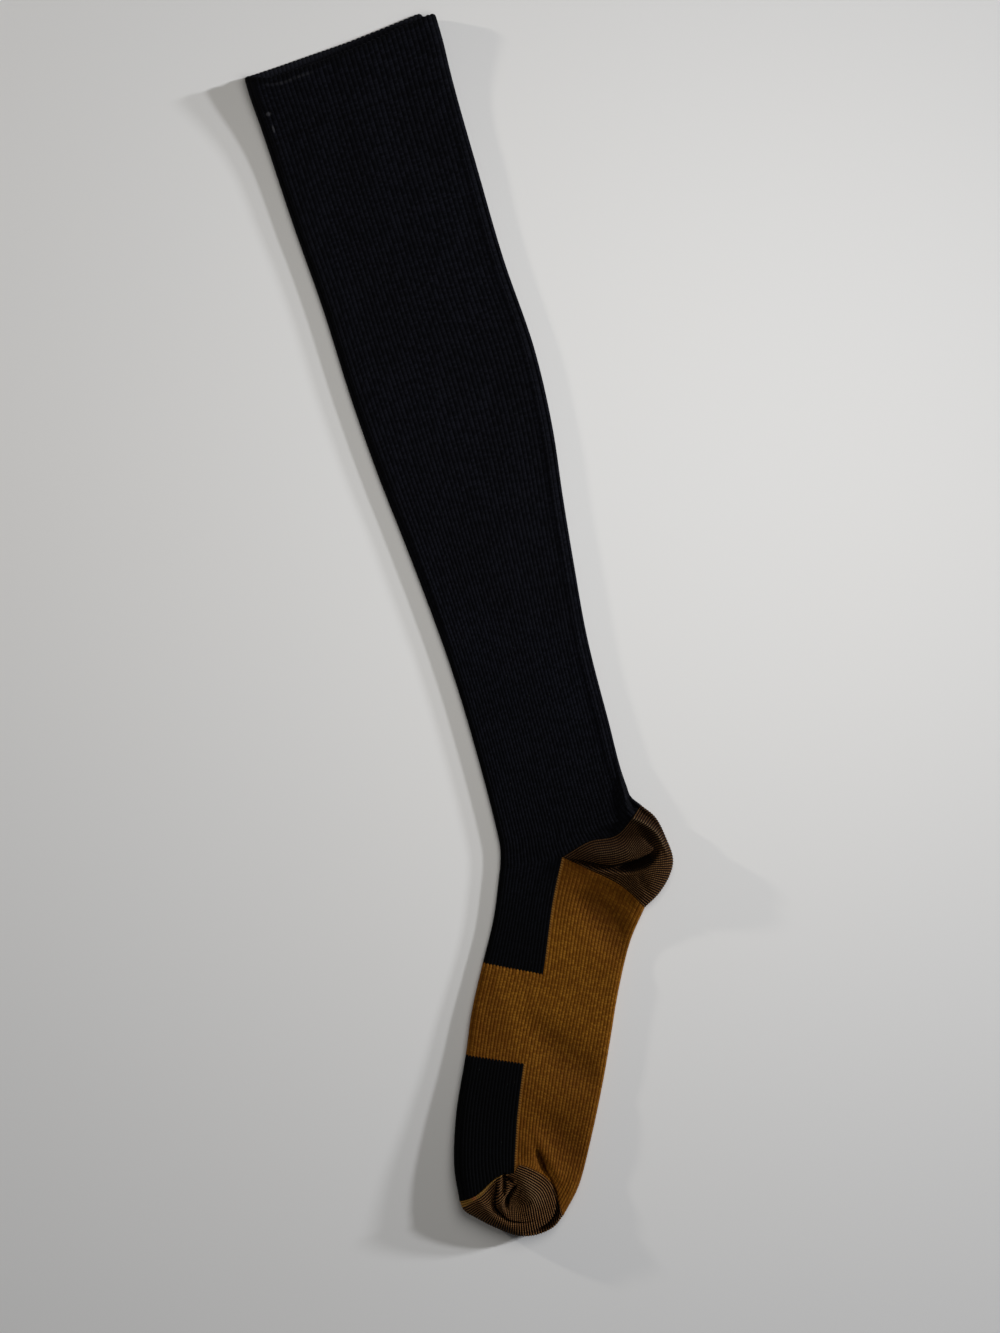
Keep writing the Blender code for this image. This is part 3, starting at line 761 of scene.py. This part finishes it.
def seamLine(seam, settings):
    # a seam from the share where it turns out of the corner, run on backwards
    seam = seam[int(len(seam) * settings["seamFrom"]) :]
    back = (seam[0] - seam[3]) / np.linalg.norm(seam[0] - seam[3])
    seam = np.vstack([seam[0] + back * settings["seamBack"], seam])
    return np.column_stack([seam, np.zeros(len(seam))])


def courseCount(grid, turns, ribs, settings):
    # how many courses lie between a place and the pocket's first seam
    edge = int(np.searchsorted(ribs, backFold))
    walk = np.linalg.norm(np.diff(grid[:, edge, :2], axis=0), axis=1)
    outlineCount = np.concatenate([[0], np.cumsum(walk)]) / settings["outlinePitch"]
    total = round(outlineCount[-1])
    outlineCount *= total / outlineCount[-1]
    x, y = grid[:, :, 0], grid[:, :, 1]
    firstSeam = np.pad(grid[0, : edge + 1, :2], ((0, 0), (0, 1)))
    fromFirst = fromLine(x, y, firstSeam)[0] / settings["lobePitch"]
    lastSeam = seamLine(grid[-1, : edge + 1, :2], settings)
    fromLast = total - fromLine(x, y, lastSeam)[0] / settings["lobePitch"]
    onLast = fromLine(x, y, np.pad(settings["parting"], ((0, 0), (0, 1))))[1]
    lobes = np.where(onLast, fromLast, fromFirst)
    turnAt, lowAt, highAt = np.transpose(settings["outlineFrom"])
    low, high = np.interp(turns, turnAt, lowAt), np.interp(turns, turnAt, highAt)
    outward = smoothStep(low[:, None], high[:, None], stretchOf(ribs)[1][None, :])
    return mix(lobes, outlineCount[:, None], outward)


def makePocket(name, courseAt, folds, settings):
    turns = np.linspace(0, 1, settings["rows"] + 1)
    shown = goreRib + (backFold - goreRib) * np.linspace(0, 1, settings["shownCols"] + 1)
    hidden = backFold + (hiddenGore - backFold) * np.linspace(0, 1, settings["hiddenCols"] + 1)[1:]
    ribs = np.concatenate([shown, hidden])
    courses = [courseAt(t) for t in turns]
    outer = np.array([outerPlaces(course, ribs, folds) for course in courses])
    inner = np.array([innerPlaces(course, ribs, folds, cloth["pocketWall"]) for course in courses])
    count = courseCount(outer, turns, ribs, settings)
    wave = 0.5 - 0.5 * np.cos(2 * pi * count)
    edge = int(np.searchsorted(ribs, backFold))
    calm = np.clip(stretchOf(ribs)[1] * cloth["reliefGrowth"], 0, 1)
    raised = cloth["courseRelief"] * (wave - 1) * calm[None, :]
    raised[:, edge + 1 :] *= cloth["underShare"]
    outer = outer + surfaceNormals(outer, False) * raised[:, :, None]
    reach = np.linalg.norm(outer[:, :, :2] - outer[:, :1, :2], axis=2)
    pattern = patternOf(outer, reach / settings["stitchPitch"], count, folds, ribs <= backFold)
    insideRows = list(range(0, settings["rows"] + 1, settings["insideStep"]))
    insideCols = list(range(0, len(ribs), settings["insideStep"]))
    makeShell(name, outer, inner, pattern, everywhere, insideRows, insideCols, False)


pocket = {"hiddenCols": 60, "insideStep": 4, "stitchPitch": 0.95}
heel = {
    **pocket,
    "rows": 240,
    "shownCols": 120,
    "outlinePitch": 1.2,
    "lobePitch": 1.0,
    "seamFrom": 0.0,
    "seamBack": 0.1,
    # the courses on the left of this line are counted from the last seam
    "parting": (
        (-6, -3), (2, -4.8), (8, -8), (17, -12.6), (25.3, -14.6), (34.4, -14),
        (39.7, -10.8), (48, -4),
    ),
    # turn, and the shares between which the courses turn square to the outline
    "outlineFrom": ((0.0, 0.6, 0.8), (1.0, 0.6, 0.8)),
}
toe = {
    **pocket,
    "rows": 288,
    "shownCols": 96,
    "outlinePitch": 1.18,
    "lobePitch": 0.97,
    "seamFrom": 0.17,
    "seamBack": 24.0,
    "parting": (
        (-58, -120), (-61.3, -132.4), (-63.4, -139.2), (-65.3, -142.4), (-65.3, -146.5),
        (-66.5, -150), (-71, -158),
    ),
    "outlineFrom": (
        (0.0, 0.6, 0.85), (0.35, 0.6, 0.85), (0.5, 0.35, 0.5), (0.62, 0.35, 0.55),
        (0.8, 0.6, 0.85), (1.0, 0.7, 0.9),
    ),
}


def reckoning(operation, turned=False):
    def act(self, *others):
        values = (*others, self) if turned else (self, *others)
        return self.board.add("ShaderNodeMath", {"operation": operation}, values)

    return act


class Wire:
    # a socket that can be reckoned with
    def __init__(self, board, socket):
        self.board, self.socket = board, socket

    __add__ = __radd__ = reckoning("ADD")
    __sub__ = reckoning("SUBTRACT")
    __rsub__ = reckoning("SUBTRACT", True)
    __mul__ = __rmul__ = reckoning("MULTIPLY")
    fract = reckoning("FRACT")
    floor = reckoning("FLOOR")
    absolute = reckoning("ABSOLUTE")
    cosine = reckoning("COSINE")

    def crests(self):
        # 1 at whole numbers and 0 half way between them
        return 0.5 + 0.5 * (self * (2 * pi)).cosine()

    def fromMiddle(self):
        # 0 in the middle of a rib or stitch and 1 at its edges
        return (self.fract() - 0.5).absolute() * 2

    def share(self, least, more):
        return least + self * more

    def beyond(self, low, high, amount=1.0, start=0.0):
        # changes softly from the start to the amount between low and high
        values = (self, low, high, start, amount)
        return self.board.add("ShaderNodeMapRange", {"interpolation_type": "SMOOTHSTEP"}, values)

    def before(self, low, high, amount=1.0):
        return self.beyond(low, high, 0.0, amount)

    def tinted(self, *touches):
        # this colour under others, each with its share
        colour = self
        for share, tint in touches:
            colour = self.board.colours(share, colour, tint)
        return colour


surface = {
    "sheenRoughness": 0.45,
    "shine": 0.05,
    "spotEdge": (0.6, 1.2),  # of a small oval, in its half widths
    "upperSide": (0.002, 0.003),  # metres over the floor
}


class Board:
    # one material's nodes
    def __init__(self, name, roughness):
        self.material = bpy.data.materials.new(name)
        self.material.use_nodes = True
        self.tree = self.material.node_tree
        self.shader = self.tree.nodes["Principled BSDF"]
        self.shader.inputs["Roughness"].default_value = roughness

    def add(self, kind, settings=(), values=(), output=0):
        node = self.tree.nodes.new(kind)
        for key, value in dict(settings).items():
            setattr(node, key, value)
        pairs = values.items() if isinstance(values, dict) else enumerate(values)
        for key, value in pairs:
            self.set(node.inputs[key], value)
        return Wire(self, node.outputs[output])

    def set(self, socket, value):
        if isinstance(value, Wire):
            self.tree.links.new(value.socket, socket)
        else:
            socket.default_value = value

    def colours(self, share, first, second):
        first, second = (c if isinstance(c, Wire) else (*c, 1) for c in (first, second))
        values = {0: share, 6: first, 7: second}
        return self.add("ShaderNodeMix", {"data_type": "RGBA"}, values, 2)

    def parts(self, vector):
        split = self.tree.nodes.new("ShaderNodeSeparateXYZ")
        self.set(split.inputs[0], vector)
        return [Wire(self, output) for output in split.outputs]

    def pattern(self):
        counts = self.parts(self.add("ShaderNodeUVMap", {"uv_map": "knit"}))
        folds = self.parts(self.add("ShaderNodeUVMap", {"uv_map": "tuck"}))
        return counts[:2] + folds[:2]

    def place(self):
        return self.add("ShaderNodeTexCoord", output=3)

    def belowMiddle(self):
        return 0 - self.parts(self.place())[1]

    def vector(self, operation, *values, output=0):
        return self.add("ShaderNodeVectorMath", {"operation": operation}, values, output)

    def spot(self, x, y, width, length):
        # 1 inside a small oval on the upper side, and 0 outside it
        away = self.vector("SUBTRACT", self.place(), (x, y, 0))
        away = self.vector("MULTIPLY", away, (2 / width, 2 / length, 0))
        inside = self.vector("LENGTH", away, output=1).before(*surface["spotEdge"])
        return inside * self.parts(self.place())[2].beyond(*surface["upperSide"])

    def noise(self, scale, detail=2.0, stretch=(1, 1, 1), turn=0.0):
        settings = {"Vector": self.place(), "Rotation": (0, 0, turn), "Scale": stretch}
        vector = self.add("ShaderNodeMapping", values=settings)
        values = {"Vector": vector, "Scale": scale, "Detail": detail}
        return self.add("ShaderNodeTexNoise", values=values)

    def perStitch(self, across, along):
        vector = self.add("ShaderNodeCombineXYZ", values=(across.floor(), along.floor(), 0.0))
        return self.add("ShaderNodeTexWhiteNoise", {"noise_dimensions": "2D"}, {"Vector": vector})

    def finish(self, colour, height, settings):
        bump = {"Height": height, "Distance": settings["bump"], "Strength": 1.0}
        values = {
            "Base Color": colour,
            "Normal": self.add("ShaderNodeBump", values=bump),
            "Sheen Weight": settings["sheen"],
            "Sheen Roughness": surface["sheenRoughness"],
            "Sheen Tint": (*settings["tint"], 1),
            "Specular IOR Level": surface["shine"],
        }
        for key, value in values.items():
            self.set(self.shader.inputs[key], value)
        return self.material


# Colours of the knit: its yarn in painted shade and painted light, and painted shade between the
# ribs and in the folds.
# An edge below is from, to and how strong, in ribs or courses, or in metres of place.
blackKnit = {
    "yarn": (0.0010, 0.0012, 0.0024),
    "lit": (0.0044, 0.0048, 0.0082),
    "gap": (0.0004, 0.0004, 0.0008),
    "deep": (0.0003, 0.0003, 0.0004),
    "roughness": 0.88,
    "sheen": 0.003,
    "tint": (0.8, 0.85, 1.0),
    # painted shade along the front fold and toward the foot
    "frontFold": (0.5, 4.0, 0.6),
    "footward": (0.04, 0.19, 0.86),
    "mottling": 0.25,
    "bump": 0.00024,
}
copperKnit = {
    "yarn": (0.122, 0.043, 0.0022),
    "lit": (0.225, 0.094, 0.0080),
    "gap": (0.055, 0.0155, 0.0008),
    "deep": (0.026, 0.0045, 0.0008),
    "roughness": 0.8,
    "sheen": 0.01,
    "tint": (1.0, 0.8, 0.5),
    "mottling": 0.3,
    "bump": 0.00022,
}
ribStitch = {
    "fuzz": (1500, 4),  # scale and detail
    "lean": 0.25,
    "shift": 0.7,  # each rib's courses start a little higher or lower
    "stray": 0.8,
    # the least light on the rib's crown, on its beads and by chance, and how much more
    "light": ((0.45, 0.5), (0.35, 0.5), (0.1, 1.3)),
    "brightest": 0.95,
    # painted shade in the hollows between the ribs, and by the tuck amount in the folds
    "hollow": (0.55, 0.9),
    "hollowEdge": (0.5, 1.2, 0.5),
    "mottle": (55, 2, (1, 0.35, 1), 0.6),
    "mottleEdge": (0.3, 0.7),
    "tuck": 0.92,
    "relief": (0.7, 0.25, 0.2),  # of the crown, the beads and the fuzz
}


def ribKnit(name, settings, touches):
    # one stitch to a rib and a course, leaning outwards from the middle of its rib
    board = Board(name, settings["roughness"])
    across, along, tuck = board.pattern()[:3]
    fuzz = board.noise(*ribStitch["fuzz"])
    off = across.fromMiddle()
    shift = board.perStitch(across, along * 0) * ribStitch["shift"]
    lean = along - off * ribStitch["lean"] + shift + (fuzz - 0.5) * ribStitch["stray"]
    bead = lean.crests()
    crown = 1 - off * off
    chance = board.perStitch(across, lean + 0.5)
    onCrown, onBead, byChance = ribStitch["light"]
    lit = crown.share(*onCrown) * bead.share(*onBead) * chance.share(*byChance)
    lit = lit.beyond(0.0, ribStitch["brightest"])
    hollow = (off * fuzz.share(*ribStitch["hollow"])).beyond(*ribStitch["hollowEdge"])
    mottle = board.noise(*ribStitch["mottle"]).beyond(*ribStitch["mottleEdge"])
    # painted highlight on the crowns and beads, painted shade in the hollows and tucks; the mottle
    # is the yarn's own uneven tone
    colour = board.colours(lit, settings["yarn"], settings["lit"]).tinted(
        (hollow, settings["gap"]),
        (mottle * settings["mottling"], settings["gap"]),
        *touches(board, across, along),
        (tuck * ribStitch["tuck"], settings["deep"]),
    )
    ofCrown, ofBead, ofFuzz = ribStitch["relief"]
    height = crown * ofCrown + bead * crown * ofBead + fuzz * ofFuzz
    return board.finish(colour, height, settings)


def legTouches(board, across, along):
    # painted shade: the black darkens toward the foot and along the front fold
    footward = board.belowMiddle().beyond(*blackKnit["footward"])
    frontFold = across.before(*blackKnit["frontFold"])
    return [(share, blackKnit["deep"]) for share in (footward, frontFold)]


weltLook = {
    # painted shade on the turned rim and on the hem
    "rim": (21.3, 22.0, 0.5),
    "hem": (0.4, 1.2, 0.5),
    "seamRow": ((19.8, 20.52), (20.88, 21.6)),
    "seamRibs": ((3.5, 4.5), (13.0, 16.0)),
    "seamStitch": ((0.2, 0.8), (1.0, -0.8), 0.5),  # by chance, off the middle, and in all
    "tacks": ((-0.0166, 0.2412, 0.0026, 0.0018), (-0.0164, 0.2344, 0.0009, 0.0036)),
    "tackAmount": 0.8,
    "tackColour": (0.030, 0.030, 0.034),
    # painted light: the inside that shows past the rim is lightened where it lies in shade
    "insideLightEdge": ((42.0, 42.5), (18.5, 19.5, 0.8)),  # the inside that shows past the rim
    "insideLight": (0.0085, 0.0090, 0.0130),
}


def weltTouches(board, across, along):
    # painted shade on the turned edge, the front fold and the hem, painted light on the inside that
    # shows past the rim, the faint row of stitches under the edge and two tack stitches
    ribs, courses = weltLook["insideLightEdge"]
    (low, high), (first, last) = weltLook["seamRow"], weltLook["seamRibs"]
    row = along.beyond(*low) * along.before(*high) * across.beyond(*first) * across.before(*last)
    chance, middle, amount = weltLook["seamStitch"]
    row = row * board.perStitch(across, along).share(*chance) * across.fromMiddle().share(*middle)
    tacks = [board.spot(*tack) * weltLook["tackAmount"] for tack in weltLook["tacks"]]
    return [
        (across.before(*blackKnit["frontFold"]), blackKnit["deep"]),
        (along.beyond(*weltLook["rim"]), blackKnit["gap"]),
        # painted light on the inside past the rim
        (across.beyond(*ribs) * along.beyond(*courses), weltLook["insideLight"]),
        (along.before(*weltLook["hem"]), blackKnit["gap"]),
        *((share, weltLook["tackColour"]) for share in (row * amount, *tacks)),
    ]


soleLook = {
    # painted light: brightest here and darker with distance and toward the heel; painted highlight
    # along the edge
    "brightest": (0.0096, -0.167, 0.005),
    "spread": (0.010, 0.058, 0.46),
    "heelward": (0.112, 0.150, 0.2),
    "edge": (40.3, 41.4, 0.1),
    "goreLine": (18.21, (0.252, 0.42), 0.4),  # at this rib, its edge, how light
    "dots": (0.2, 0.8),
    "band": ((43.0, 44.0), (85.5, 86.5)),
    "pale": (0.36, 0.20, 0.06),
}


def soleTouches(board, across, along):
    # painted light and shade: brightest under the arch and darker away from it and toward the heel,
    # a painted highlight along the edge, and a dotted line beside the black
    away = board.vector("DISTANCE", board.place(), soleLook["brightest"], output=1)
    rib, edge, amount = soleLook["goreLine"]
    start, end = soleLook["band"]
    line = (across - rib).absolute().before(*edge)
    line = line * (1 - along.beyond(*start) * along.before(*end))
    dots = along.crests().beyond(*soleLook["dots"])
    return [
        (away.beyond(*soleLook["spread"]), copperKnit["gap"]),
        (board.belowMiddle().before(*soleLook["heelward"]), copperKnit["gap"]),
        (across.beyond(*soleLook["edge"]), copperKnit["lit"]),
        (line * dots * amount, soleLook["pale"]),
    ]


toeStripes = {
    "copper": (0.118, 0.052, 0.016),
    "lit": (0.205, 0.108, 0.038),
    # painted highlight on the crests of the folds, and how strong it is
    "crestHighlight": (0.230, 0.145, 0.070),
    "crest": 0.5,
    "black": (0.0072, 0.0024, 0.0011),
    # painted shade in the tucks: its colour and how much it darkens
    "deep": (0.0070, 0.0020, 0.0009),
    "thread": (0.42, 0.9),  # where the bright course starts and where it is full
    "tuck": 0.85,  # how much the tucks darken
    "roughness": 0.82,
    "sheen": 0.01,
    "tint": (1.0, 0.85, 0.7),
    "bump": 0.0004,
}
# the heel's copper and lit colours are darker and its bright courses narrower than the toe's, as
# painted shade; its crests get a stronger painted highlight
heelStripes = {
    **toeStripes,
    "copper": (0.085, 0.038, 0.011),
    "lit": (0.165, 0.088, 0.032),
    "crestHighlight": (0.270, 0.180, 0.090),
    "crest": 0.85,
    "deep": (0.0035, 0.0010, 0.0004),
    "thread": (0.52, 0.88),
    "tuck": 0.92,
}
courseStitch = {
    "fuzz": (2600, 3),  # scale and detail
    "dip": 0.18,  # how far a course is drawn in between two stitches
    "stray": 0.45,
    "relief": (0.6, 0.4, 0.15),  # of the course, its stitches and the fuzz
}


def stripeKnit(name, settings, touches):
    # a bright copper course between dark ones, in stitches that lie side by side
    board = Board(name, settings["roughness"])
    across, along, tuck, crest = board.pattern()
    wave = 1 - along.crests()
    stitch = across.fromMiddle()
    chance = board.perStitch(across, along)
    fuzz = board.noise(*courseStitch["fuzz"])
    thread = wave - stitch * courseStitch["dip"] + (fuzz - 0.5) * courseStitch["stray"]
    lit = board.colours((1 - stitch) * chance, settings["copper"], settings["lit"])
    # painted highlight on the crests of the folds
    lit = lit.tinted((crest * crest * settings["crest"], settings["crestHighlight"]))
    # painted shade in the tucks over the courses
    colour = board.colours(thread.beyond(*settings["thread"]), settings["black"], lit).tinted(
        *touches(board, across, along), (tuck * settings["tuck"], settings["deep"])
    )
    ofCourse, ofStitch, ofFuzz = courseStitch["relief"]
    height = wave * ofCourse + (1 - stitch) * wave * ofStitch + fuzz * ofFuzz
    return board.finish(colour, height, settings)


# painted shadow over the upper lobe of the heel
heelLook = {"upper": (0.112, 0.126, 0.52)}
toeLook = {
    "strip": (-0.1, 0.25, 0.85),
    "stripWidening": 0.09,
    "stripColour": (0.20, 0.105, 0.022),
    "spot": (-0.0610, -0.2424, 0.0026, 0.0022),
    "spotAmount": 0.5,
    "spotColour": (0.30, 0.075, 0.030),
}


def heelTouches(board, across, along):
    # painted shadow: the lobe over the crease is darker than the one under it
    return [(board.belowMiddle().before(*heelLook["upper"]), heelStripes["black"])]


def toeTouches(board, across, along):
    # a plain strip along the linking seam, with a reddish end of yarn in it
    strip = (across * toeLook["stripWidening"] - along).beyond(*toeLook["strip"])
    spot = board.spot(*toeLook["spot"]) * toeLook["spotAmount"]
    return [(strip, toeLook["stripColour"]), (spot, toeLook["spotColour"])]


black = ribKnit("black ribbed knit", blackKnit, legTouches)
weltBlack = ribKnit("black ribbed welt", blackKnit, weltTouches)
copper = ribKnit("copper ribbed knit", copperKnit, soleTouches)
heelStriped = stripeKnit("copper and black courses of the heel", heelStripes, heelTouches)
toeStriped = stripeKnit("copper and black courses of the toe", toeStripes, toeTouches)

sheets = {
    # finish, slot, flat width round the tube and length, and the flat area of the cut
    "welt": (weltBlack, "black_knit", (0.178, 0.032), 0.0055),
    "leg": (black, "black_knit", (0.178, 0.392), 0.0557),
    "instep": (black, "black_knit", (0.062, 0.066), 0.0037),
    "foot": (copper, "copper_knit", (0.128, 0.158), 0.0123),
    "heel": (heelStriped, "striped_knit", (0.080, 0.090), 0.0028),
    "toe": (toeStriped, "striped_knit", (0.070, 0.060), 0.0028),
}


def dress(node, finish, slotName, flat, area):
    piece = pieces[node]
    piece.name = node + "_cloth"
    piece.data.materials.append(finish)
    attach(piece, "root")
    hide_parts(node)


floorLook = {
    "size": 6.0,
    "corner": (0.5, 6),  # how much is rounded off, and in how many steps
    "pale": (0.775, 0.783, 0.797),
    "warm": (0.785, 0.782, 0.782),
    "grain": 4.0,
    "roughness": 0.6,
    "shine": 0.1,
}


def makeFloor():
    bpy.ops.mesh.primitive_plane_add(size=floorLook["size"])
    floor = bpy.context.active_object
    floor.name = "floor"
    bpy.ops.object.mode_set(mode="EDIT")
    bpy.ops.mesh.select_all(action="SELECT")
    offset, segments = floorLook["corner"]
    bpy.ops.mesh.bevel(offset=offset, segments=segments, affect="VERTICES")
    bpy.ops.object.mode_set(mode="OBJECT")
    board = Board("pale table top", floorLook["roughness"])
    colour = board.colours(board.noise(floorLook["grain"]), floorLook["pale"], floorLook["warm"])
    board.set(board.shader.inputs["Base Color"], colour)
    board.shader.inputs["Specular IOR Level"].default_value = floorLook["shine"]
    floor.data.materials.append(board.material)


for make in (makeWelt, makeLeg, makeFoot, makeInstep):
    make()
    print("knitted", *pieces)
makePocket("heel", heelCourse, heelFolds, heel)
makePocket("toe", toeCourse, toeFolds, toe)
print("knitted", *pieces)
makeFloor()
for node, sheet in sheets.items():
    dress(node, *sheet)
print("dressed")

view = {
    "place": (0.01438, -0.02124, 0.8228),
    "turn": 16.0,  # the leg leans this far to the left of the picture's upright
    "lens": {"lens": 50.0, "sensor_width": 36.0, "clip_end": 20.0},
    "ambient": 0.05,
}
lamps = {
    # name: metres to the right of the picture's middle, up it and over the floor,
    # size in metres, watts, tint
    "farRight": (4.55, 1.35, 1.04, 0.30, 142.0, (0.97, 0.98, 1.0)),
    "right": (2.50, 0.75, 0.92, 0.16, 46.0, (0.97, 0.98, 1.0)),
    "left": (-1.15, 0.50, 0.27, 0.06, 5.2, (1.0, 0.94, 0.84)),
    "above": (0.13, 0.11, 0.42, 0.40, 0.98, (1.0, 0.975, 0.92)),
}


def makeLamp(name, across, up, height, size, watts, tint):
    lamp = bpy.data.lights.new(name, "AREA")
    lamp.shape = "DISK"
    lamp.size = size
    lamp.energy = watts
    lamp.color = tint
    thing = inScene(name, lamp)
    turn = radians(view["turn"])
    right = across * cos(turn) + up * sin(turn)
    upward = up * cos(turn) - across * sin(turn)
    aside = Vector((right, upward, height))
    thing.location = Vector((*view["place"][:2], 0)) + aside
    thing.rotation_euler = aside.to_track_quat("Z", "Y").to_euler()


for name, numbers in lamps.items():
    makeLamp(name, *numbers)

world = bpy.data.worlds.new("soft room")
bpy.context.scene.world = world
world.use_nodes = True
background = world.node_tree.nodes["Background"]
background.inputs["Color"].default_value = (1.0, 1.0, 1.0, 1)
background.inputs["Strength"].default_value = view["ambient"]

camera = inScene("camera", bpy.data.cameras.new("camera"))
camera.location = view["place"]
camera.rotation_euler = (0, 0, -radians(view["turn"]))
for key, value in view["lens"].items():
    setattr(camera.data, key, value)
bpy.context.scene.camera = camera
bpy.context.scene.view_settings.view_transform = "Standard"
print("lit")
